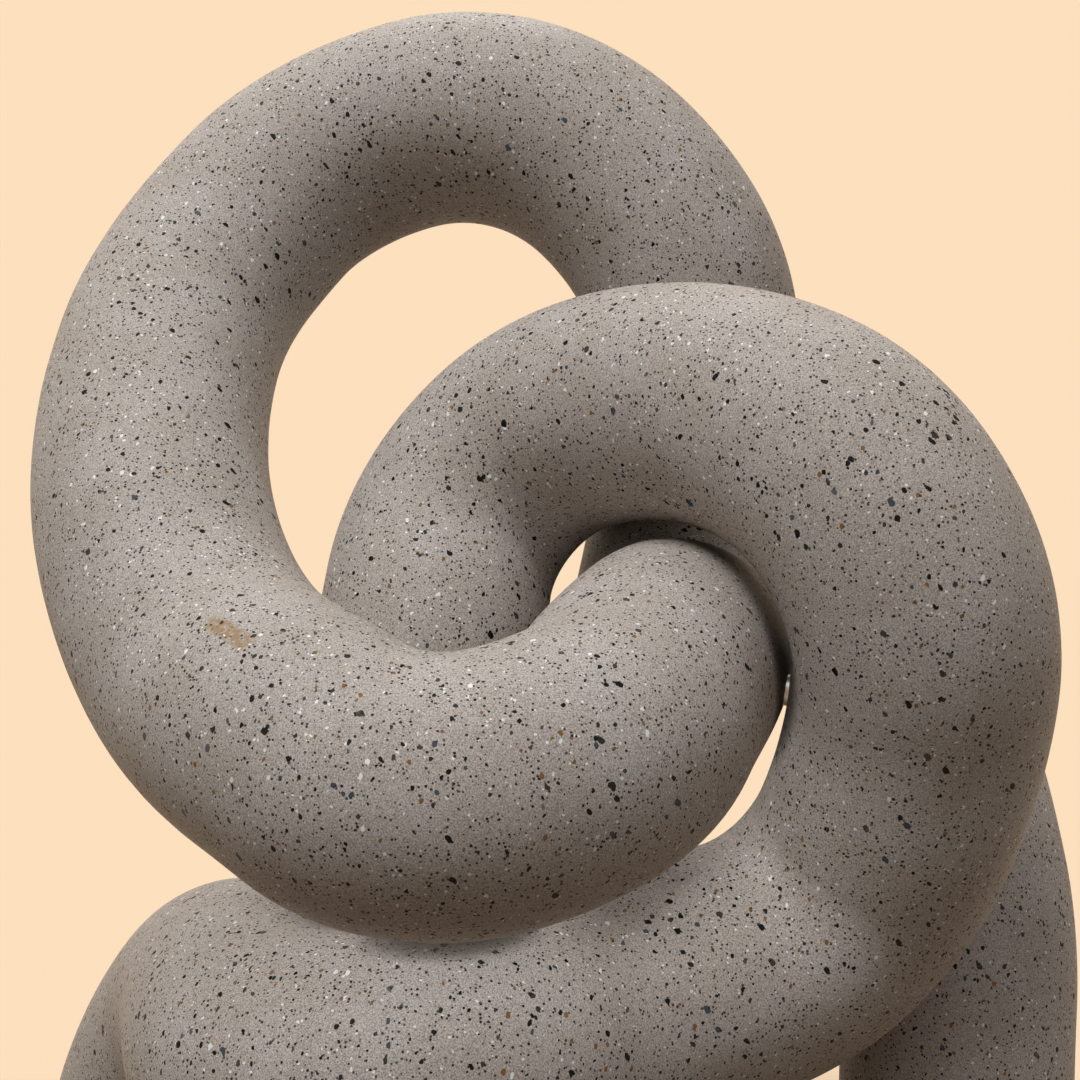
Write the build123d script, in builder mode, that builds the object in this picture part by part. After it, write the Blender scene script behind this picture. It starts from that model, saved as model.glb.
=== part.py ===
"""Knot sculpture of cast stone: a closed round loop linked through a round strand that stands on its two ends."""
from build123d import *
from math import sqrt
import os

# Strands
STRAND_DIAMETER = 48.0
STRAND_GAP = 0.4  # air between two strands where they pass closest
LEG_LENGTH = 14.0  # straight run of the left leg above its foot
FOOT_ARRIS = 1.0  # chamfer round the rim of each foot

# Dowels in the joints between castings
DOWEL_DIAMETER = 10.0
DOWEL_LENGTH = 30.0

# Pins that hold the loop where it lies against the standing strand
PIN_DIAMETER = 6.0
PIN_LENGTH = 20.0

# Sockets of dowels and pins
ADHESIVE_FILM = 0.2
SOCKET_END_GAP = 1.0  # room past each end of a dowel or pin

# Felt pads, half sunk in the feet
PAD_DIAMETER = 34.0
PAD_THICKNESS = 3.0
PAD_RECESS = 1.5
PAD_FIT = 0.3  # gap round a pad in its recess

# Strands that pass each other are one pitch apart, so the whole knot is laid out in pitches
KNOT_PITCH = STRAND_DIAMETER + STRAND_GAP

# Stations of the centrelines: to the right, to the back and up, in pitches from the top of the left leg's
# straight run. A name starts a new casting at its station. The loop ends where it starts.
LOOP_COURSE = [
    ("loop_belly", 0.17, -1.67, 2.38),
    ("", -0.54, -1.89, 2.26),
    ("loop_flank", -0.95, -1.67, 2.43),
    ("", -1.24, -1.34, 2.58),
    ("loop_left", -1.71, -0.61, 3.44),
    ("", -1.52, 0.20, 4.57),
    ("loop_crown", -1.20, 0.35, 4.94),
    ("", -0.03, 0.17, 5.10),
    ("loop_drop", 0.57, 0.12, 4.55),
    ("", 0.75, 0.26, 3.58),
    ("loop_turn", 0.63, -0.01, 2.86),
    ("", 0.37, -1.32, 2.55),
]
STAND_COURSE = [
    ("right_leg", 1.78, -0.52, 0.58),
    ("rear_rise", 1.85, -0.26, 1.59),
    ("rear_arch", 1.61, 0.76, 2.64),
    ("", 1.30, 1.27, 2.73),
    ("return_bend", 0.26, 1.90, 2.16),
    ("", -0.48, 1.44, 1.54),
    ("ring_limb", -0.65, -0.44, 1.99),
    ("", 0.02, -0.45, 3.62),
    ("ring_crown", 0.37, -0.70, 3.71),
    ("ring_right", 1.36, -1.47, 2.95),
    ("", 1.39, -1.24, 2.24),
    ("ring_sole", 1.14, -1.03, 1.65),
    ("", 0.33, -1.25, 1.32),
    ("left_leg", -0.51, -1.72, 1.24),
    ("", -1.53, -0.44, 0.96),
    ("", -1.85, -0.06, 0.00),
]

# Castings that are pinned to each other where they lie closest
PINNED_PAIRS = [
    ("loop_belly", "ring_sole"),
    ("loop_flank", "ring_limb"),
    ("loop_drop", "ring_limb"),
    ("loop_turn", "ring_right"),
]

UP = Vector(0, 0, 1)
BACK = Vector(0, 1, 0)
FOOT_HEIGHT = PAD_THICKNESS - PAD_RECESS
KNOT_HEIGHT = FOOT_HEIGHT + LEG_LENGTH


def place_stations(course):
    """Stations of a course as points."""
    return [Vector(right, back, up) * KNOT_PITCH + UP * KNOT_HEIGHT for _, right, back, up in course]


def heading_between(before, here, after):
    """Heading, at the middle one of three points, of the circle through them."""
    back = here - before
    ahead = after - here
    return (back * (1 / back.dot(back)) + ahead * (1 / ahead.dot(ahead))).normalized()


def headings_along(points):
    """Headings at all points of a run but its first and last."""
    return [heading_between(*points[i - 1 : i + 2]) for i in range(1, len(points) - 1)]


def arc_meeting_point(start, start_heading, end, end_heading):
    """Point where two arcs meet smoothly, one leaving the start and one reaching the end."""
    reach = end - start
    spread = 2 * (1 - start_heading.dot(end_heading))
    along = reach.dot(start_heading + end_heading)
    arm = (sqrt(along**2 + spread * reach.dot(reach)) - along) / spread
    return (start + end + (start_heading - end_heading) * arm) * 0.5


def arc_run(points, headings):
    """Smooth line of arcs, two for each span, through points at their headings."""
    with BuildLine() as run:
        for i in range(len(points) - 1):
            middle = arc_meeting_point(points[i], headings[i], points[i + 1], headings[i + 1])
            opening_arc = TangentArc(points[i], middle, tangent=headings[i])
            TangentArc(middle, points[i + 1], tangent=opening_arc % 1)
    return run.wire()


def split_course(course, points, headings):
    """Centrelines of a course's castings, by name."""
    starts = [i for i, (name, *_) in enumerate(course) if name]
    ends = starts[1:] + [len(points) - 1]
    return {course[a][0]: arc_run(points[a : b + 1], headings[a : b + 1]) for a, b in zip(starts, ends)}


def plane_across(line):
    """Plane across the start of a line; its X points to the back, where a casting's seam runs."""
    heading = line % 0
    return Plane(line @ 0, x_dir=heading.cross(BACK.cross(heading)), z_dir=heading)


def foot_under(point):
    """Middle of the foot that stands straight under a point."""
    return Vector(point.X, point.Y, FOOT_HEIGHT)


loop_points = place_stations(LOOP_COURSE)
loop_headings = headings_along([loop_points[-1]] + loop_points + [loop_points[0]])
loop_lines = split_course(LOOP_COURSE, loop_points + loop_points[:1], loop_headings + loop_headings[:1])

stand_points = place_stations(STAND_COURSE)
stand_headings = [UP] + headings_along(stand_points) + [-UP]
stand_lines = split_course(STAND_COURSE, stand_points, stand_headings)

feet = {"right_leg": foot_under(stand_points[0]), "left_leg": foot_under(stand_points[-1])}
right_run = Edge.make_line(feet["right_leg"], stand_points[0])
left_run = Edge.make_line(stand_points[-1], feet["left_leg"])
stand_lines["right_leg"] = Wire([right_run, *stand_lines["right_leg"].edges()])
stand_lines["left_leg"] = Wire([*stand_lines["left_leg"].edges(), left_run])

centrelines = loop_lines | stand_lines
joint_planes = [plane_across(line) for name, line in centrelines.items() if name != "right_leg"]

pin_planes = []
pin_sockets = {name: [] for name in centrelines}
for loop_name, stand_name in PINNED_PAIRS:
    loop_point, stand_point = centrelines[loop_name].closest_points(centrelines[stand_name])
    pin_plane = Plane((loop_point + stand_point) / 2, z_dir=stand_point - loop_point)
    pin_planes.append(pin_plane)
    pin_sockets[loop_name].append(pin_plane)
    pin_sockets[stand_name].append(-pin_plane)


def save_piece(piece, name):
    """Name a piece and write it to its file."""
    piece.label = name
    export_step(piece, f"parts/{name}.step")


def cast_strand(name):
    """Round casting along its centreline, with a foot or a dowel socket at each end and its pin sockets."""
    line = centrelines[name]
    dowel_sockets = []
    if name != "right_leg":
        dowel_sockets.append(Plane(line @ 0, z_dir=-(line % 0)))
    if name != "left_leg":
        dowel_sockets.append(Plane(line @ 1, z_dir=line % 1))
    with BuildPart() as casting:
        with BuildLine():
            add(line)
        with BuildSketch(plane_across(line)):
            Circle(STRAND_DIAMETER / 2)
        sweep()
        if name in feet:
            rim = casting.faces().sort_by(Axis.Z)[0].edges()
            chamfer(rim, length=FOOT_ARRIS)
            with Locations(Plane(feet[name], z_dir=-UP)):
                Hole(radius=PAD_DIAMETER / 2 + PAD_FIT, depth=PAD_RECESS)
        with Locations(*dowel_sockets):
            Hole(radius=DOWEL_DIAMETER / 2 + ADHESIVE_FILM, depth=DOWEL_LENGTH / 2 + SOCKET_END_GAP)
        if pin_sockets[name]:
            with Locations(*pin_sockets[name]):
                Hole(radius=PIN_DIAMETER / 2 + ADHESIVE_FILM, depth=PIN_LENGTH / 2 + SOCKET_END_GAP)
    save_piece(casting.part, name)


def cut_rods(name, planes, diameter, length):
    """Round rods, half of each on either side of its plane."""
    with BuildPart() as rods:
        with BuildSketch(*planes):
            Circle(diameter / 2)
        extrude(amount=length / 2, both=True)
    save_piece(rods.part, name)


os.makedirs("parts", exist_ok=True)

for casting_name in centrelines:
    cast_strand(casting_name)

cut_rods("joint_dowels", joint_planes, DOWEL_DIAMETER, DOWEL_LENGTH)
cut_rods("contact_pins", pin_planes, PIN_DIAMETER, PIN_LENGTH)

with BuildPart() as foot_pads:
    with BuildSketch(Plane.XY):
        with Locations(*[(foot.X, foot.Y) for foot in feet.values()]):
            Circle(PAD_DIAMETER / 2)
    extrude(amount=PAD_THICKNESS)
save_piece(foot_pads.part, "foot_pads")
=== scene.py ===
"""Looks of a knot sculpture: two linked round strands of speckled cast stone on two felt pads."""

from math import atan2, ceil, cos, pi, radians, sin, sqrt, tau

import bpy
import numpy as np
from bpy.props import FloatProperty, FloatVectorProperty, IntProperty, PointerProperty
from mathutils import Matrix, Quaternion, Vector, noise


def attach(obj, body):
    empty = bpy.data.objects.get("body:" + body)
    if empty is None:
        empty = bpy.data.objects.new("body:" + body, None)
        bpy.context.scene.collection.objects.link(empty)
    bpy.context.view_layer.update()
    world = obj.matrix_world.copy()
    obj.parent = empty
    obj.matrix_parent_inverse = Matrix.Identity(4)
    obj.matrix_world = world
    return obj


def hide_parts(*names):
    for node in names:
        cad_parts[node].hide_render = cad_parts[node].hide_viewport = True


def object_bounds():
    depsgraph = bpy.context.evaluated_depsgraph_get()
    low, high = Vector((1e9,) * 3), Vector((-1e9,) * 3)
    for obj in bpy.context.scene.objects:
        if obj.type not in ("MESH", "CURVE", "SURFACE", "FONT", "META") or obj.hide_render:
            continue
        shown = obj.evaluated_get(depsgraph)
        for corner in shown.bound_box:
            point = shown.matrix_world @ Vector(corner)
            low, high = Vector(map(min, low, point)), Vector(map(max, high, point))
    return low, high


bl_info = {
    "name": "Stone Knot",
    "version": (1, 0, 0),
    "blender": (4, 5, 0),
    "location": "3D View > Sidebar > Stone Knot",
    "description": "Dresses a knot sculpture in speckled cast stone and sets it on a plain stage",
    "category": "Object",
}

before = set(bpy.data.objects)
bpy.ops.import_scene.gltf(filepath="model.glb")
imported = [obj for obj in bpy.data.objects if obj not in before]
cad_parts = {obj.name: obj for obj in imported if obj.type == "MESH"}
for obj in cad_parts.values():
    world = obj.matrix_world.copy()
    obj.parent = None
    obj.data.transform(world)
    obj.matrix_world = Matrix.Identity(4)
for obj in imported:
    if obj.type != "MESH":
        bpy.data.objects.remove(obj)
CAD_LOW, CAD_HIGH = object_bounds()
MILLIMETRE = 0.001

# Stations of the centrelines: to the right, to the back and up, in pitches from the top of the left leg's
# straight run. A name starts a new casting at its station. The loop ends where it starts.
LOOP_COURSE = [
    ("loop_belly", 0.17, -1.67, 2.38),
    ("", -0.54, -1.89, 2.26),
    ("loop_flank", -0.95, -1.67, 2.43),
    ("", -1.24, -1.34, 2.58),
    ("loop_left", -1.71, -0.61, 3.44),
    ("", -1.52, 0.20, 4.57),
    ("loop_crown", -1.20, 0.35, 4.94),
    ("", -0.03, 0.17, 5.10),
    ("loop_drop", 0.57, 0.12, 4.55),
    ("", 0.75, 0.26, 3.58),
    ("loop_turn", 0.63, -0.01, 2.86),
    ("", 0.37, -1.32, 2.55),
]
STAND_COURSE = [
    ("right_leg", 1.78, -0.52, 0.58),
    ("rear_rise", 1.85, -0.26, 1.59),
    ("rear_arch", 1.61, 0.76, 2.64),
    ("", 1.30, 1.27, 2.73),
    ("return_bend", 0.26, 1.90, 2.16),
    ("", -0.48, 1.44, 1.54),
    ("ring_limb", -0.65, -0.44, 1.99),
    ("", 0.02, -0.45, 3.62),
    ("ring_crown", 0.37, -0.70, 3.71),
    ("ring_right", 1.36, -1.47, 2.95),
    ("", 1.39, -1.24, 2.24),
    ("ring_sole", 1.14, -1.03, 1.65),
    ("", 0.33, -1.25, 1.32),
    ("left_leg", -0.51, -1.72, 1.24),
    ("", -1.53, -0.44, 0.96),
    ("", -1.85, -0.06, 0.00),
]

# Chips in the stone, in cell patterns: cell size in millimetres, turn of the pattern, and its kinds of chip, each with
# the share of the cells that it takes
CHIP_PATTERNS = (
    ((0.62, 0.58, 0.58), (0.0, 0.0, 0.0), (("white_fleck", 0.032), ("dark_chip", 0.022))),
    (
        (1.20, 0.90, 0.90),
        (2.1, 0.6, 1.3),
        (("white_fleck", 0.011), ("ochre_fleck", 0.016), ("slate_chip", 0.010), ("dark_chip", 0.047)),
    ),
    ((2.00, 1.40, 1.30), (0.2, 2.3, 0.5), (("slate_chip", 0.011), ("dark_chip", 0.031))),
)

CHIP_RADIUS = (0.33, 0.50)  # smallest and largest, in cells
CHIP_RIM = 0.88  # share of the radius at which a chip's rim starts to fade
CHIP_WAVES = 1.1  # waves of the rims in a millimetre
CHIP_PUSH = 0.6  # how far the waves push a rim, in millimetres

# Ochre streak in the stone, on the loop's lower left, in millimetres
STREAK_MIDDLE = (-53.4, -94.3, 151.8)
STREAK_HEADING = (0.70, -0.64, -0.32)
STREAK_HALF_LENGTH = (6.8, 4.6)  # where it ends, and where it starts to fade
STREAK_HALF_WIDTH = (2.3, 0.9)

# Sand and pinholes of the stone, in millimetres
SAND_SIZE = 0.25
PORE_SPACING = 0.86
PORE_RADIUS = 0.215

# Painted contact shade: the colour darkens where ambient occlusion finds another strand close by, for the shade in the
# creases where strands touch
PAINTED_SHADE_REACH = 0.0045  # metres
PAINTED_SHADE_SHELTER = (0.80, 0.30)  # open air where it starts, and where it is full
PAINTED_SHADE_COVER = 0.90

# Finish of the stone
SAND_CONTRAST = 0.70
SKIN_ROUGHNESS = 0.52
PORE_ROUGHNESS = 0.62
STONE_GLOSS = 0.10
STONE_RELIEF = 0.00012  # metres

# Place and width of each lamp, in metres, and the castings whose shadow the key lamp leaves out
KEY_LAMP = ((-0.44, -0.63, 1.34), 0.7)
SIDE_LAMP = ((0.65, -0.54, 1.0), 0.6)
BACK_LAMP = ((-0.10, 0.60, 1.27), 0.6)
SPARED_CASTINGS = ("loop_belly", "loop_flank", "loop_turn")

SENSOR_WIDTH = 36.0  # millimetres
FLOOR_FACETS = 96

UP = Vector((0, 0, 1))


class StoneKnotSizes(bpy.types.PropertyGroup):
    """Sizes of the strand, of its joints and of its pads"""

    strand_diameter: FloatProperty(
        name="Strand Diameter", description="Thickness of the strand", default=0.048, unit="LENGTH"
    )
    strand_gap: FloatProperty(
        name="Strand Gap", description="Air between two strands that pass closely", default=0.0004, unit="LENGTH"
    )
    leg_length: FloatProperty(
        name="Leg Length", description="Straight run above the left foot", default=0.014, unit="LENGTH"
    )
    foot_arris: FloatProperty(
        name="Foot Arris", description="Chamfer round the rim of a foot", default=0.001, unit="LENGTH"
    )
    socket_diameter: FloatProperty(
        name="Socket Diameter", description="Bore that takes a dowel", default=0.0104, unit="LENGTH"
    )
    socket_depth: FloatProperty(
        name="Socket Depth", description="Depth of the bore in each casting", default=0.016, unit="LENGTH"
    )
    pad_diameter: FloatProperty(
        name="Pad Diameter", description="Width of a felt pad", default=0.034, unit="LENGTH"
    )
    pad_thickness: FloatProperty(
        name="Pad Thickness", description="Height of a felt pad", default=0.003, unit="LENGTH"
    )
    pad_recess: FloatProperty(
        name="Pad Recess", description="Depth of a pad in its foot", default=0.0015, unit="LENGTH"
    )
    pad_fit: FloatProperty(
        name="Pad Fit", description="Gap round a pad in its recess", default=0.0003, unit="LENGTH"
    )
    waviness: FloatProperty(
        name="Waviness", description="Height of the hand-rubbed waves of the skin", default=0.00009, unit="LENGTH"
    )
    wave_length: FloatProperty(
        name="Wave Length", description="Length of the waves of the skin", default=0.021, unit="LENGTH"
    )
    ring_step: FloatProperty(
        name="Ring Step", description="Longest step between two rings of the mesh", default=0.0016, unit="LENGTH"
    )
    facets: IntProperty(name="Facets", description="Faces round the strand", default=128, min=16)


class StoneKnotColours(bpy.types.PropertyGroup):
    """Colours of the stone, of what is in it, and of the felt and steel"""

    stone: FloatVectorProperty(
        name="Stone", description="Fine grey-brown matrix", subtype="COLOR", default=(0.476, 0.429, 0.391)
    )
    stone_warm: FloatVectorProperty(
        name="Warm Stone", description="Warmer clouds in the matrix", subtype="COLOR", default=(0.438, 0.386, 0.343)
    )
    dark_chip: FloatVectorProperty(
        name="Dark Chip", description="Black chips", subtype="COLOR", default=(0.004, 0.005, 0.006)
    )
    slate_chip: FloatVectorProperty(
        name="Slate Chip", description="Blue-grey chips", subtype="COLOR", default=(0.060, 0.074, 0.088)
    )
    ochre_fleck: FloatVectorProperty(
        name="Ochre Fleck", description="Rusty sand grains", subtype="COLOR", default=(0.23, 0.118, 0.038)
    )
    ochre_streak: FloatVectorProperty(
        name="Ochre Streak", description="Rusty streak in the matrix", subtype="COLOR", default=(0.36, 0.235, 0.125)
    )
    # Painted shade: near-black brown laid into the creases where strands touch
    painted_contact_shade: FloatVectorProperty(
        name="Painted Contact Shade", description="Painted shade where strands touch", subtype="COLOR", default=(0.055, 0.043, 0.034)
    )
    white_fleck: FloatVectorProperty(
        name="White Fleck", description="Quartz grains", subtype="COLOR", default=(0.92, 0.90, 0.87)
    )
    # Painted shade: dark brown laid into the pinholes for the shade inside them
    pinhole_shade: FloatVectorProperty(
        name="Pore", description="Pinholes in the skin", subtype="COLOR", default=(0.022, 0.013, 0.008)
    )
    felt: FloatVectorProperty(
        name="Felt", description="Pressed wool felt", subtype="COLOR", default=(0.060, 0.052, 0.046)
    )
    steel: FloatVectorProperty(
        name="Steel", description="Drawn steel of the dowels", subtype="COLOR", default=(0.56, 0.55, 0.53)
    )


class StoneKnotStage(bpy.types.PropertyGroup):
    """Colour, light and camera of the stage"""

    backdrop: FloatVectorProperty(
        name="Backdrop", description="Peach of the floor and backdrop", subtype="COLOR", default=(0.982, 0.745, 0.515)
    )
    floor_bounce: FloatVectorProperty(
        name="Floor Bounce", description="Warm light that the floor gives back", subtype="COLOR",
        default=(0.11, 0.068, 0.038),
    )
    floor_radius: FloatProperty(
        name="Floor Radius", description="Size of the floor", default=2.4, unit="LENGTH"
    )
    floor_fade: FloatProperty(
        name="Floor Fade", description="Distance at which the floor melts into the backdrop", default=0.18,
        unit="LENGTH",
    )
    sky_strength: FloatProperty(
        name="Sky Strength", description="Soft light from all round", default=0.25
    )
    key_power: FloatProperty(
        name="Key Power", description="Large lamp high up, on the left in front", default=13.8, unit="POWER"
    )
    key_colour: FloatVectorProperty(
        name="Key Colour", description="Slightly cool light", subtype="COLOR", default=(0.97, 0.988, 1.0)
    )
    back_power: FloatProperty(
        name="Back Power", description="Weak lamp high up behind", default=3.2, unit="POWER"
    )
    side_power: FloatProperty(
        name="Side Power", description="Weak lamp high up on the right", default=1.4, unit="POWER"
    )
    camera_place: FloatVectorProperty(
        name="Camera Place", description="Camera, level and square to the front", subtype="TRANSLATION",
        default=(-0.001644, -0.343392, 0.167005),
    )
    camera_lens: FloatProperty(
        name="Camera Lens", description="Focal length in millimetres", default=50.0, min=1.0
    )


def heading_between(before, here, after):
    """Heading, at the middle one of three points, of the circle through them."""
    back = here - before
    ahead = after - here
    return (back / back.length_squared + ahead / ahead.length_squared).normalized()


def arc_meeting_point(start, start_heading, end, end_heading):
    """Point where two arcs meet smoothly, one leaving the start and one reaching the end."""
    reach = end - start
    spread = 2 * (1 - start_heading.dot(end_heading))
    along = reach.dot(start_heading + end_heading)
    arm = (sqrt(along**2 + spread * reach.length_squared) - along) / spread
    return (start + end + (start_heading - end_heading) * arm) / 2


def walk_line(start, end, step):
    """Places and headings along a straight run, after its start."""
    count = ceil((end - start).length / step)
    heading = (end - start).normalized()
    return [(start.lerp(end, k / count), heading) for k in range(1, count + 1)]


def walk_arc(start, heading, end, step):
    """Places and headings along the arc that leaves the start on a heading, after its start."""
    chord = end - start
    inward = (chord - heading * chord.dot(heading)).normalized()
    radius = chord.length_squared / (2 * chord.dot(inward))
    turn = 2 * heading.angle(chord)
    count = ceil(radius * turn / step)
    walk = []
    for k in range(1, count + 1):
        angle = turn * k / count
        place = start + heading * (radius * sin(angle)) + inward * (radius * (1 - cos(angle)))
        walk.append((place, heading * cos(angle) + inward * sin(angle)))
    return walk


class Strand:
    """Skin of a whole strand as rings of points, so that its castings meet without a step."""

    def __init__(self, course, closed, sizes):
        self.radius = sizes.strand_diameter / 2
        self.facets = sizes.facets
        self.closed = closed
        pitch = sizes.strand_diameter + sizes.strand_gap
        foot_height = sizes.pad_thickness - sizes.pad_recess
        lift = UP * (foot_height + sizes.leg_length)
        stations = [Vector(place) * pitch + lift for _, *place in course]
        if closed:
            stations = [stations[-1], *stations, stations[0]]
        headings = [heading_between(*stations[i - 1 : i + 2]) for i in range(1, len(stations) - 1)]
        if closed:
            stations = [*stations[1:-1], stations[1]]
            headings.append(headings[0])
            walk = [(stations[0], headings[0])]
        else:
            headings = [UP, *headings, -UP]
            rims = [Vector((s.x, s.y, foot_height + sizes.foot_arris)) for s in (stations[0], stations[-1])]
            self.feet = [Vector((rim.x, rim.y, foot_height)) for rim in rims]
            walk = [(rims[0], UP), *walk_line(rims[0], stations[0], sizes.ring_step)]

        self.station_ring = [0]
        for i in range(len(stations) - 1):
            middle = arc_meeting_point(stations[i], headings[i], stations[i + 1], headings[i + 1])
            walk += walk_arc(stations[i], headings[i], middle, sizes.ring_step)
            walk += walk_arc(middle, walk[-1][1], stations[i + 1], sizes.ring_step)
            self.station_ring.append(len(walk) - 1)
        if not closed:
            walk += walk_line(stations[-1], rims[1], sizes.ring_step)
            self.station_ring[-1] = len(walk) - 1

        self.centres = np.array([place for place, _ in walk])
        self.headings = np.array([heading for _, heading in walk])
        self.sides = self.untwisted_sides([heading for _, heading in walk])
        self.skin = self.ring(np.arange(len(walk)), self.radius)
        self.rub(sizes)
        self.normals = self.skin_normals()

    def untwisted_sides(self, headings):
        """Sideways direction of each ring, turned as little as a strand that closes on itself allows."""
        side = headings[0].orthogonal().normalized()
        sides = [side]
        for before, after in zip(headings, headings[1:]):
            side = before.rotation_difference(after) @ side
            sides.append(side)
        if self.closed:
            across = headings[0].cross(sides[0])
            turn = atan2(sides[-1].dot(across), sides[-1].dot(sides[0]))
            last = len(sides) - 1
            sides = [Quaternion(h, -turn * k / last) @ s for k, (h, s) in enumerate(zip(headings, sides))]
        return np.array(sides)

    def ring(self, at, radius, advance=0.0):
        """Points of the rings with these numbers, with a radius, moved along the strand."""
        angles = np.arange(self.facets) * tau / self.facets
        side = self.sides[at][..., None, :]
        across = np.cross(self.headings[at], self.sides[at])[..., None, :]
        spokes = side * np.cos(angles)[:, None] + across * np.sin(angles)[:, None]
        middle = self.centres[at] + self.headings[at] * advance
        return middle[..., None, :] + spokes * radius

    def rub(self, sizes):
        """Gives the skin the faint waves of a surface rubbed down by hand."""
        for place, ring in zip(self.centres, self.skin):
            for k, point in enumerate(ring):
                wave = noise.noise(Vector(point) / sizes.wave_length)
                wave += noise.noise(Vector(point) / sizes.wave_length * 3) / 3
                spoke = (point - place) / self.radius
                ring[k] = point + spoke * wave * sizes.waviness

    def skin_normals(self):
        """Normals of the skin, shared by the castings on both sides of a joint."""
        along = np.gradient(self.skin, axis=0)
        if self.closed:
            along[[0, -1]] = (self.skin[1] - self.skin[-2]) / 2
        around = np.roll(self.skin, -1, axis=1) - np.roll(self.skin, 1, axis=1)
        normals = np.cross(around, along)
        return normals / np.linalg.norm(normals, axis=2, keepdims=True)


def make_piece(name, points, faces, material):
    """New piece of the object with a material, on its one body."""
    mesh = bpy.data.meshes.new(name)
    mesh.from_pydata(points, [], faces)
    mesh.update()
    piece = bpy.data.objects.new(name, mesh)
    piece.data.materials.append(material)
    bpy.context.scene.collection.objects.link(piece)
    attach(piece, "root")
    return piece


def loft_faces(ring_count, facets):
    """Faces of a closed loft: a first point, rings of points, and a last point."""
    around = [(k, (k + 1) % facets) for k in range(facets)]
    last_point = 1 + ring_count * facets
    faces = [(0, 1 + b, 1 + a) for a, b in around]
    for ring in range(ring_count - 1):
        low = 1 + ring * facets
        high = low + facets
        faces += [(low + a, low + b, high + b, high + a) for a, b in around]
    low = last_point - facets
    faces += [(last_point, low + a, low + b) for a, b in around]
    return faces


def cast_piece(name, strand, first, last, start_end, finish_end, material):
    """Casting from one ring of the strand to another, closed by an end profile of (radius, depth) at each end."""
    rings = [strand.ring(first, radius, depth) for radius, depth in reversed(start_end)]
    skin_start = len(rings)
    rings += list(strand.skin[first : last + 1])
    skin_stop = len(rings) - 1
    rings += [strand.ring(last, radius, -depth) for radius, depth in finish_end]
    points = [rings[0].mean(axis=0), *np.concatenate(rings), rings[-1].mean(axis=0)]

    facets = strand.facets
    piece = make_piece(name, points, loft_faces(len(rings), facets), material)
    mesh = piece.data
    skin_faces = range((1 + skin_start) * facets, (1 + skin_stop) * facets)
    smooth = np.zeros(len(mesh.polygons), bool)
    smooth[skin_faces.start : skin_faces.stop] = True
    mesh.polygons.foreach_set("use_smooth", smooth)
    corner_points = np.empty(len(mesh.loops), np.int32)
    mesh.loops.foreach_get("vertex_index", corner_points)
    point_normals = np.zeros((len(points), 3))
    skin_points = 1 + skin_start * facets
    skin_normals = strand.normals[first : last + 1].reshape(-1, 3)
    point_normals[skin_points : skin_points + len(skin_normals)] = skin_normals
    corner_normals = np.zeros((len(mesh.loops), 3))
    for face in mesh.polygons[skin_faces.start : skin_faces.stop]:
        corners = slice(face.loop_start, face.loop_start + face.loop_total)
        corner_normals[corners] = point_normals[corner_points[corners]]
    mesh.normals_split_custom_set(corner_normals.tolist())
    return piece


def new_node(tree, kind, links=None, **settings):
    """New shader node with its settings, and with each named input linked to a socket or set to a value."""
    made = tree.nodes.new(kind)
    for name, value in settings.items():
        setattr(made, name, value)
    for name, source in (links or {}).items():
        socket = made.inputs[name]
        if isinstance(source, bpy.types.NodeSocket):
            tree.links.new(source, socket)
        else:
            socket.default_value = source
    return made


def maths(tree, operation, *values):
    """Result of a sum of sockets or numbers."""
    return new_node(tree, "ShaderNodeMath", dict(enumerate(values)), operation=operation).outputs[0]


def vector_maths(tree, operation, *values):
    """Result of a sum of vectors."""
    return new_node(tree, "ShaderNodeVectorMath", dict(enumerate(values)), operation=operation).outputs[0]


def vector_measure(tree, operation, *values):
    """Number measured on vectors."""
    return new_node(tree, "ShaderNodeVectorMath", dict(enumerate(values)), operation=operation).outputs["Value"]


def ramp(tree, value, low, high, bottom=0.0, top=1.0):
    """Value eased from the bottom at low to the top at high."""
    links = {"Value": value, "From Min": low, "From Max": high, "To Min": bottom, "To Max": top}
    return new_node(tree, "ShaderNodeMapRange", links, interpolation_type="SMOOTHSTEP").outputs[0]


def blend(tree, share, under, over, blend_type="MIX"):
    """Colour of one layer laid over another."""
    under, over = (
        source if isinstance(source, bpy.types.NodeSocket) else (*source, 1.0) for source in (under, over)
    )
    links = {0: share, 6: under, 7: over}
    return new_node(tree, "ShaderNodeMix", links, data_type="RGBA", blend_type=blend_type).outputs[2]


def new_group(name, inputs, outputs):
    """Empty shader node group with its sockets, as (group, its inputs, its output node)."""
    group = bpy.data.node_groups.new(name, "ShaderNodeTree")
    for socket, kind, default in inputs:
        made = group.interface.new_socket(name=socket, in_out="INPUT", socket_type=kind)
        if default is not None:
            made.default_value = default
    for socket, kind in outputs:
        group.interface.new_socket(name=socket, in_out="OUTPUT", socket_type=kind)
    return group, group.nodes.new("NodeGroupInput").outputs, group.nodes.new("NodeGroupOutput")


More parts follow.
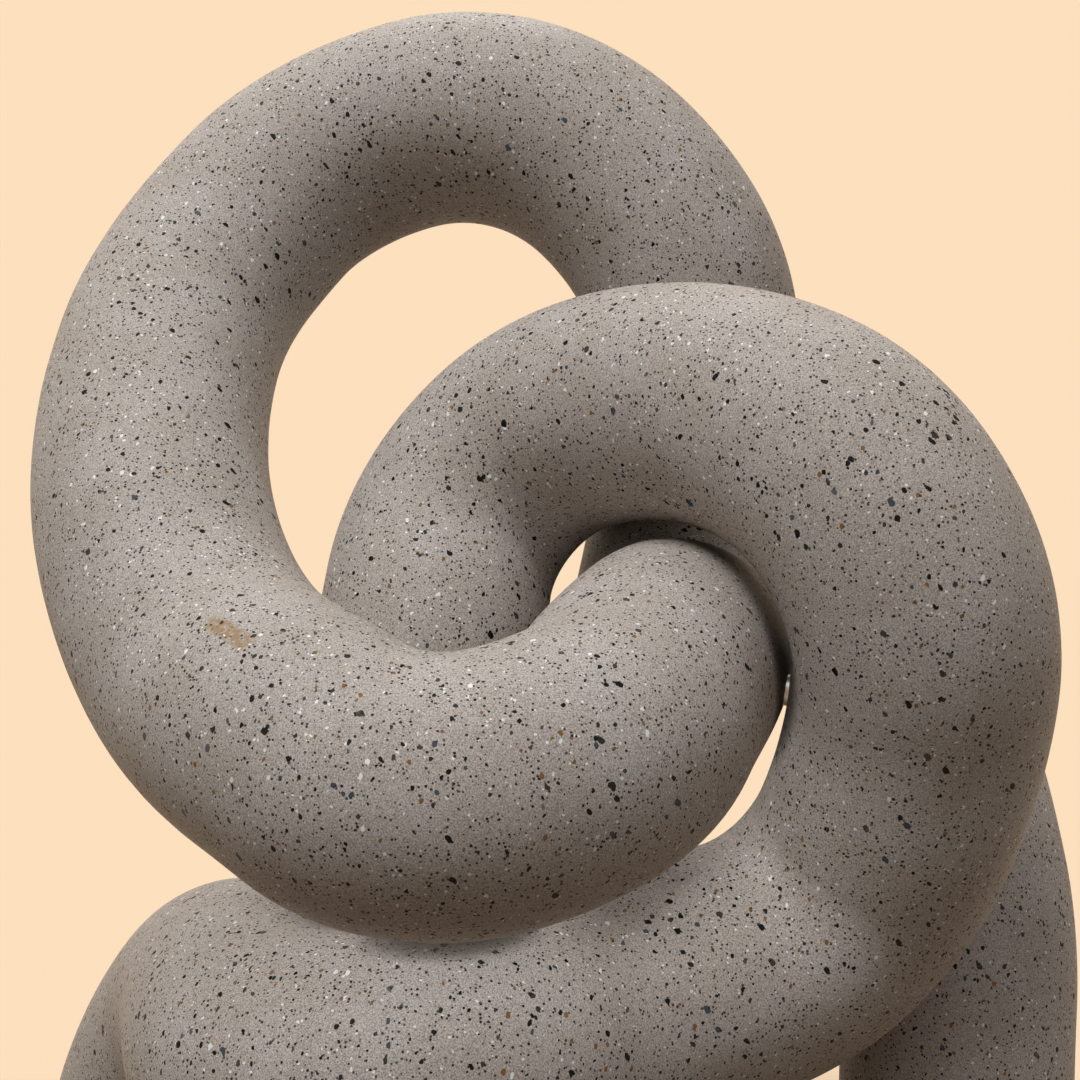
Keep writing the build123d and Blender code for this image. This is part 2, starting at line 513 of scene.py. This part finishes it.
def group_of_chips():
    """Node group for rounded chips cut through by the surface, one in each cell of a pattern."""
    group, given, result = new_group(
        "stone_chips",
        [
            ("Place", "NodeSocketVector", None),
            ("Turn", "NodeSocketVector", None),
            ("Cell Size", "NodeSocketVector", (1.0, 1.0, 1.0)),
        ],
        [("Mask", "NodeSocketFloat"), ("Draw", "NodeSocketFloat"), ("Tone", "NodeSocketFloat")],
    )
    turned = new_node(group, "ShaderNodeMapping", {"Vector": given["Place"], "Rotation": given["Turn"]})
    cells = vector_maths(group, "DIVIDE", turned.outputs[0], given["Cell Size"])
    cell = new_node(group, "ShaderNodeTexVoronoi", {"Vector": cells, "Scale": 1.0})
    draw = new_node(group, "ShaderNodeSeparateColor", {"Color": cell.outputs["Color"]}).outputs
    rim = ramp(group, draw[2], 0.0, 1.0, *CHIP_RADIUS)
    core = maths(group, "MULTIPLY", rim, CHIP_RIM)
    group.links.new(ramp(group, cell.outputs["Distance"], rim, core), result.inputs["Mask"])
    group.links.new(draw[0], result.inputs["Draw"])
    group.links.new(draw[1], result.inputs["Tone"])
    return group


def group_of_pores():
    """Node group for round pinholes cut through by the surface."""
    group, given, result = new_group(
        "pinholes",
        [
            ("Place", "NodeSocketVector", None),
            ("Spacing", "NodeSocketFloat", 1.0),
            ("Radius", "NodeSocketFloat", 0.25),
        ],
        [("Mask", "NodeSocketFloat"), ("Tone", "NodeSocketFloat")],
    )
    density = maths(group, "DIVIDE", 1.0, given["Spacing"])
    cell = new_node(group, "ShaderNodeTexVoronoi", {"Vector": given["Place"], "Scale": density})
    draw = new_node(group, "ShaderNodeSeparateColor", {"Color": cell.outputs["Color"]}).outputs
    reach = maths(group, "MULTIPLY", given["Radius"], density)
    rim = maths(group, "MULTIPLY", reach, ramp(group, draw[0], 0.0, 1.0, 0.45, 1.3))
    core = maths(group, "MULTIPLY", rim, 0.8)
    group.links.new(ramp(group, cell.outputs["Distance"], rim, core), result.inputs["Mask"])
    group.links.new(draw[1], result.inputs["Tone"])
    return group


def group_of_grain():
    """Node group for a fine grain, drawn out along any of the three directions."""
    group, given, result = new_group(
        "fine_grain",
        [("Place", "NodeSocketVector", None), ("Grain Size", "NodeSocketVector", (0.3, 0.3, 0.3))],
        [("Shade", "NodeSocketFloat")],
    )
    grains = vector_maths(group, "DIVIDE", given["Place"], given["Grain Size"])
    speck = new_node(group, "ShaderNodeTexNoise", {"Vector": grains, "Scale": 1.0, "Detail": 2.0, "Roughness": 0.6})
    group.links.new(speck.outputs["Fac"], result.inputs["Shade"])
    return group


def shared_group(maker):
    """Node group that a maker makes, made only once."""
    if maker not in shared_group.made:
        shared_group.made[maker] = maker()
    return shared_group.made[maker]


shared_group.made = {}


def group_node(tree, maker, **links):
    """Node of a shared group, with its inputs named in lower case."""
    inputs = {name.replace("_", " ").title(): source for name, source in links.items()}
    return new_node(tree, "ShaderNodeGroup", inputs, node_tree=shared_group(maker)).outputs


def new_material(name):
    """Empty node material, as (material, its node tree, place on the piece in millimetres)."""
    material = bpy.data.materials.new(name)
    material.use_nodes = True
    tree = material.node_tree
    tree.nodes.clear()
    place = new_node(tree, "ShaderNodeTexCoord").outputs["Object"]
    millimetres = new_node(tree, "ShaderNodeVectorMath", {0: place, "Scale": 1 / MILLIMETRE}, operation="SCALE")
    return material, tree, millimetres.outputs[0]


def surface(tree, **links):
    """Principled surface as the material's output, with its inputs named in lower case."""
    inputs = {name.replace("_", " ").title().replace("Ior", "IOR"): source for name, source in links.items()}
    shader = new_node(tree, "ShaderNodeBsdfPrincipled", inputs)
    new_node(tree, "ShaderNodeOutputMaterial", {"Surface": shader.outputs[0]})
    return shader


def matrix_colour(tree, place, sand, colours):
    """Colour of the stone between its chips: warm clouds and fine sand."""
    clouds = new_node(tree, "ShaderNodeTexNoise", {"Vector": place, "Scale": 0.06, "Detail": 2.0}).outputs["Fac"]
    colour = blend(tree, ramp(tree, clouds, 0.35, 0.65), colours.stone, colours.stone_warm)
    contrast = ramp(tree, sand, 0.3, 0.7, 0.20, 0.82)
    shade = new_node(tree, "ShaderNodeCombineColor", {0: contrast, 1: contrast, 2: contrast}).outputs[0]
    return blend(tree, SAND_CONTRAST, colour, shade, "OVERLAY")


def streak_mask(tree, place):
    """Mottled mask of the one long streak."""
    offset = vector_maths(tree, "SUBTRACT", place, STREAK_MIDDLE)
    along = vector_measure(tree, "DOT_PRODUCT", offset, STREAK_HEADING)
    reach = vector_measure(tree, "LENGTH", offset)
    aside = maths(tree, "SUBTRACT", maths(tree, "POWER", reach, 2.0), maths(tree, "POWER", along, 2.0))
    narrow = ramp(tree, maths(tree, "SQRT", aside), *STREAK_HALF_WIDTH)
    short = ramp(tree, maths(tree, "ABSOLUTE", along), *STREAK_HALF_LENGTH)
    clouds = new_node(tree, "ShaderNodeTexNoise", {"Vector": place, "Scale": 0.9, "Detail": 1.0}).outputs["Fac"]
    mottle = ramp(tree, clouds, 0.34, 0.52, 0.2, 0.9)
    return maths(tree, "MULTIPLY", maths(tree, "MULTIPLY", narrow, short), mottle)


def ragged_place(tree, place):
    """Place pushed about a little, so that chips get uneven rims."""
    swirl = new_node(tree, "ShaderNodeTexNoise", {"Vector": place, "Scale": CHIP_WAVES, "Detail": 1.0})
    centred = vector_maths(tree, "SUBTRACT", swirl.outputs["Color"], (0.5, 0.5, 0.5))
    return vector_maths(tree, "ADD", place, vector_maths(tree, "MULTIPLY", centred, (CHIP_PUSH,) * 3))


def stone_material(colours):
    """Matte cast stone: grey-brown matrix with black, slate, ochre and white chips, and pinholes."""
    material, tree, place = new_material("speckled_cast_stone")
    sand = group_node(tree, group_of_grain, place=place, grain_size=(SAND_SIZE,) * 3)["Shade"]
    colour = matrix_colour(tree, place, sand, colours)
    colour = blend(tree, streak_mask(tree, place), colour, colours.ochre_streak)

    ragged = ragged_place(tree, place)
    for size, turn, kinds in CHIP_PATTERNS:
        cells = group_node(tree, group_of_chips, place=ragged, turn=turn, cell_size=size)
        cover = maths(tree, "MULTIPLY", cells["Mask"], ramp(tree, cells["Tone"], 0.0, 0.6, 0.88, 1.0))
        taken = 0.0
        for name, share in kinds:
            above = maths(tree, "GREATER_THAN", cells["Draw"], taken)
            taken += share
            chosen = maths(tree, "MULTIPLY", above, maths(tree, "LESS_THAN", cells["Draw"], taken))
            colour = blend(tree, maths(tree, "MULTIPLY", cover, chosen), colour, getattr(colours, name))

    pores = group_node(tree, group_of_pores, place=place, spacing=PORE_SPACING, radius=PORE_RADIUS)
    depth = maths(tree, "MULTIPLY", pores["Mask"], ramp(tree, pores["Tone"], 0.0, 1.0, 0.8, 1.0))
    # Painted shade: pinholes take a near-black colour for the shade inside them; the same mask also sets their
    # roughness and sunken relief
    colour = blend(tree, depth, colour, colours.pinhole_shade)
    # Painted shade: where ambient occlusion finds another strand within the reach, the colour darkens towards the
    # painted shade colour, as the shadow in the crease
    open_air = new_node(tree, "ShaderNodeAmbientOcclusion", {"Distance": PAINTED_SHADE_REACH}, samples=4).outputs["AO"]
    colour = blend(tree, ramp(tree, open_air, *PAINTED_SHADE_SHELTER, 0.0, PAINTED_SHADE_COVER), colour, colours.painted_contact_shade)

    rough = ramp(tree, depth, 0.0, 1.0, SKIN_ROUGHNESS, PORE_ROUGHNESS)
    relief = maths(tree, "MULTIPLY_ADD", sand, 0.22, maths(tree, "MULTIPLY", depth, -1.0))
    bump = new_node(tree, "ShaderNodeBump", {"Height": relief, "Strength": 0.6, "Distance": STONE_RELIEF})
    surface(tree, base_color=colour, roughness=rough, specular_ior_level=STONE_GLOSS, normal=bump.outputs[0])
    return material


def felt_material(colours):
    """Pressed wool felt: matted fibres that run every way."""
    material, tree, place = new_material("pressed_wool_felt")
    fibres = [
        group_node(tree, group_of_grain, place=place, grain_size=size)["Shade"]
        for size in ((1.2, 0.12, 0.12), (0.12, 1.2, 0.12), (0.5, 0.5, 0.12))
    ]
    matted = maths(tree, "MAXIMUM", maths(tree, "MAXIMUM", fibres[0], fibres[1]), fibres[2])
    pale = [3.0 * part for part in colours.felt]
    colour = blend(tree, ramp(tree, matted, 0.45, 0.75), colours.felt, pale)
    bump = new_node(tree, "ShaderNodeBump", {"Height": matted, "Strength": 0.8, "Distance": 0.0002})
    shader = surface(tree, base_color=colour, roughness=0.95, normal=bump.outputs[0])
    shader.inputs["Sheen Weight"].default_value = 0.3
    return material


def steel_material(colours):
    """Drawn steel: fine scratches and dull patches."""
    material, tree, place = new_material("drawn_steel")
    scratches = group_node(tree, group_of_grain, place=place, grain_size=(0.15, 0.15, 6.0))["Shade"]
    colour = blend(tree, ramp(tree, scratches, 0.3, 0.7), colours.steel, [0.75 * part for part in colours.steel])
    rough = ramp(tree, scratches, 0.3, 0.7, 0.28, 0.45)
    bump = new_node(tree, "ShaderNodeBump", {"Height": scratches, "Strength": 0.2, "Distance": 0.00005})
    surface(tree, base_color=colour, metallic=1.0, roughness=rough, normal=bump.outputs[0])
    return material


class STONEKNOT_OT_cast_strands(bpy.types.Operator):
    """Casts the stone pieces of both strands, with ground joints that don't show"""

    bl_idname = "stone_knot.cast_strands"
    bl_label = "Cast Strands"
    bl_options = {"REGISTER", "UNDO"}

    def execute(self, context):
        sizes = context.scene.stone_knot_sizes
        stone = stone_material(context.scene.stone_knot_colours)
        self.socket = [(sizes.socket_diameter / 2, 0.0), (sizes.socket_diameter / 2, sizes.socket_depth)]
        recess_radius = sizes.pad_diameter / 2 + sizes.pad_fit
        self.foot = [
            (sizes.strand_diameter / 2 - sizes.foot_arris, -sizes.foot_arris),
            (recess_radius, -sizes.foot_arris),
            (recess_radius, sizes.pad_recess - sizes.foot_arris),
        ]
        self.cast(LOOP_COURSE, Strand(LOOP_COURSE, True, sizes), stone)
        self.cast(STAND_COURSE, Strand(STAND_COURSE, False, sizes), stone)
        return {"FINISHED"}

    def cast(self, course, strand, stone):
        """Casts all pieces of one strand."""
        starts = [i for i, (name, *_) in enumerate(course) if name]
        last = len(strand.station_ring) - 1
        for start, finish in zip(starts, [*starts[1:], last]):
            node = course[start][0]
            piece = cast_piece(
                f"{node}_stone",
                strand,
                strand.station_ring[start],
                strand.station_ring[finish],
                self.foot if start == 0 and not strand.closed else self.socket,
                self.foot if finish == last and not strand.closed else self.socket,
                stone,
            )
            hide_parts(node)


class STONEKNOT_OT_finish_rods(bpy.types.Operator):
    """Gives the dowels in the joints and the pins between the strands their drawn steel"""

    bl_idname = "stone_knot.finish_rods"
    bl_label = "Finish Rods"
    bl_options = {"REGISTER", "UNDO"}

    def execute(self, context):
        steel = steel_material(context.scene.stone_knot_colours)
        for name in ("joint_dowels", "contact_pins"):
            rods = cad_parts[name]
            rods.data.materials.clear()
            rods.data.materials.append(steel)
        return {"FINISHED"}


class STONEKNOT_OT_press_pads(bpy.types.Operator):
    """Presses the two felt pads, with soft rims, into the feet"""

    bl_idname = "stone_knot.press_pads"
    bl_label = "Press Pads"
    bl_options = {"REGISTER", "UNDO"}

    def execute(self, context):
        sizes = context.scene.stone_knot_sizes
        felt = felt_material(context.scene.stone_knot_colours)
        strand = Strand(STAND_COURSE, False, sizes)
        radius = sizes.pad_diameter / 2
        soft = sizes.pad_thickness / 4
        rim = [(radius - soft * (1 - sin(a)), soft * (1 - cos(a))) for a in np.linspace(0, pi / 2, 5)]
        profile = [(radius / 2, 0.0), *rim]
        profile += [(r, sizes.pad_thickness - h) for r, h in reversed(profile)]
        points, faces = [], []
        for foot in strand.feet:
            rings = [
                [(foot.x + r * cos(a), foot.y + r * sin(a), h) for a in np.arange(sizes.facets) * tau / sizes.facets]
                for r, h in profile
            ]
            base = len(points)
            points += [(foot.x, foot.y, 0.0), *sum(rings, []), (foot.x, foot.y, sizes.pad_thickness)]
            faces += [tuple(base + k for k in face) for face in loft_faces(len(rings), sizes.facets)]
        pads = make_piece("foot_pads_felt", points, faces, felt)
        pads.data.polygons.foreach_set("use_smooth", [True] * len(pads.data.polygons))
        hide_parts("foot_pads")
        return {"FINISHED"}


class STONEKNOT_OT_set_stage(bpy.types.Operator):
    """Lays the floor, hangs the lamps and sets the camera"""

    bl_idname = "stone_knot.set_stage"
    bl_label = "Set Stage"
    bl_options = {"REGISTER", "UNDO"}

    def execute(self, context):
        stage = context.scene.stone_knot_stage
        self.lay_floor(context, stage)
        self.light_world(context, stage)
        middle = (CAD_LOW + CAD_HIGH) / 2
        key = self.hang_lamp(context, "key_lamp", *KEY_LAMP, middle, stage.key_power)
        key.data.color = stage.key_colour
        self.spare_shadow(key, SPARED_CASTINGS)
        self.hang_lamp(context, "side_lamp", *SIDE_LAMP, middle, stage.side_power)
        self.hang_lamp(context, "back_lamp", *BACK_LAMP, middle, stage.back_power)
        camera = bpy.data.objects.new("camera", bpy.data.cameras.new("camera"))
        camera.location = stage.camera_place
        camera.rotation_euler = (radians(90), 0, 0)
        camera.data.lens = stage.camera_lens
        camera.data.sensor_width = SENSOR_WIDTH
        context.scene.collection.objects.link(camera)
        context.scene.camera = camera
        context.scene.view_settings.view_transform = "Standard"
        return {"FINISHED"}

    def hang_lamp(self, context, name, place, size, target, power):
        """Square soft lamp that faces the object."""
        lamp = bpy.data.objects.new(name, bpy.data.lights.new(name, "AREA"))
        lamp.data.size = size
        lamp.data.energy = power
        lamp.location = place
        lamp.rotation_euler = (target - Vector(place)).to_track_quat("-Z", "Y").to_euler()
        context.scene.collection.objects.link(lamp)
        return lamp

    def spare_shadow(self, lamp, nodes):
        """Keeps castings from throwing a lamp's shadow on the strand that they rest on."""
        spared = bpy.data.collections.new(f"{lamp.name}_spared")
        for node in nodes:
            spared.objects.link(bpy.data.objects[f"{node}_stone"])
        for member in spared.collection_objects:
            member.light_linking.link_state = "EXCLUDE"
        lamp.light_linking.blocker_collection = spared

    def seen_directly(self, tree):
        """Share of the rays that look at the backdrop, rather than gather light from it."""
        path = new_node(tree, "ShaderNodeLightPath").outputs
        seen = maths(tree, "MAXIMUM", path["Is Camera Ray"], path["Is Glossy Ray"])
        return maths(tree, "MAXIMUM", seen, path["Is Transmission Ray"])

    def lay_floor(self, context, stage):
        """Round floor that keeps the shadow and melts into the backdrop further out."""
        angles = [k * tau / FLOOR_FACETS for k in range(FLOOR_FACETS)]
        rim = [(stage.floor_radius * cos(angle), stage.floor_radius * sin(angle), 0.0) for angle in angles]
        mesh = bpy.data.meshes.new("floor")
        mesh.from_pydata(rim, [], [tuple(range(FLOOR_FACETS))])
        floor = bpy.data.objects.new("floor", mesh)
        context.scene.collection.objects.link(floor)

        material = bpy.data.materials.new("peach_floor")
        material.use_nodes = True
        tree = material.node_tree
        tree.nodes.clear()
        paper = new_node(tree, "ShaderNodeBsdfDiffuse", {"Color": (*stage.backdrop, 1.0)}).outputs[0]
        glow = new_node(tree, "ShaderNodeEmission", {"Color": (*stage.backdrop, 1.0)}).outputs[0]
        place = new_node(tree, "ShaderNodeTexCoord").outputs["Object"]
        distance = new_node(tree, "ShaderNodeVectorMath", {0: place}, operation="LENGTH").outputs["Value"]
        far = ramp(tree, distance, stage.floor_fade / 2, stage.floor_fade)
        bounce = new_node(tree, "ShaderNodeBsdfDiffuse", {"Color": (*stage.floor_bounce, 1.0)}).outputs[0]
        seen = new_node(tree, "ShaderNodeMixShader", {0: far, 1: paper, 2: glow}).outputs[0]
        links = {0: self.seen_directly(tree), 1: bounce, 2: seen}
        mixed = new_node(tree, "ShaderNodeMixShader", links).outputs[0]
        new_node(tree, "ShaderNodeOutputMaterial", {"Surface": mixed})
        mesh.materials.append(material)

    def light_world(self, context, stage):
        """Soft light from all round, with the backdrop's colour where it is seen."""
        world = bpy.data.worlds.new("studio")
        world.use_nodes = True
        tree = world.node_tree
        tree.nodes.clear()
        soft = new_node(tree, "ShaderNodeBackground", {"Color": (1, 1, 1, 1), "Strength": stage.sky_strength})
        peach = new_node(tree, "ShaderNodeBackground", {"Color": (*stage.backdrop, 1.0), "Strength": 1.0})
        links = {0: self.seen_directly(tree), 1: soft.outputs[0], 2: peach.outputs[0]}
        mixed = new_node(tree, "ShaderNodeMixShader", links)
        new_node(tree, "ShaderNodeOutputWorld", {"Surface": mixed.outputs[0]})
        context.scene.world = world


OPERATORS = (
    STONEKNOT_OT_cast_strands,
    STONEKNOT_OT_finish_rods,
    STONEKNOT_OT_press_pads,
    STONEKNOT_OT_set_stage,
)
SETTINGS = {
    "stone_knot_sizes": StoneKnotSizes,
    "stone_knot_colours": StoneKnotColours,
    "stone_knot_stage": StoneKnotStage,
}


class STONEKNOT_PT_panel(bpy.types.Panel):
    """Sizes, colours and steps of the stone knot"""

    bl_idname = "STONEKNOT_PT_panel"
    bl_label = "Stone Knot"
    bl_space_type = "VIEW_3D"
    bl_region_type = "UI"
    bl_category = "Stone Knot"

    def draw(self, context):
        for name, kind in SETTINGS.items():
            column = self.layout.box().column()
            for setting in kind.__annotations__:
                column.prop(getattr(context.scene, name), setting)
        for operator in OPERATORS:
            self.layout.operator(operator.bl_idname)


CLASSES = (*SETTINGS.values(), *OPERATORS, STONEKNOT_PT_panel)


def register():
    for kind in CLASSES:
        bpy.utils.register_class(kind)
    for name, kind in SETTINGS.items():
        setattr(bpy.types.Scene, name, PointerProperty(type=kind))


def unregister():
    for name in SETTINGS:
        delattr(bpy.types.Scene, name)
    for kind in reversed(CLASSES):
        bpy.utils.unregister_class(kind)


def main():
    register()
    bpy.ops.stone_knot.cast_strands()
    bpy.ops.stone_knot.finish_rods()
    bpy.ops.stone_knot.press_pads()
    bpy.ops.stone_knot.set_stage()


if __name__ == "__main__":
    main()
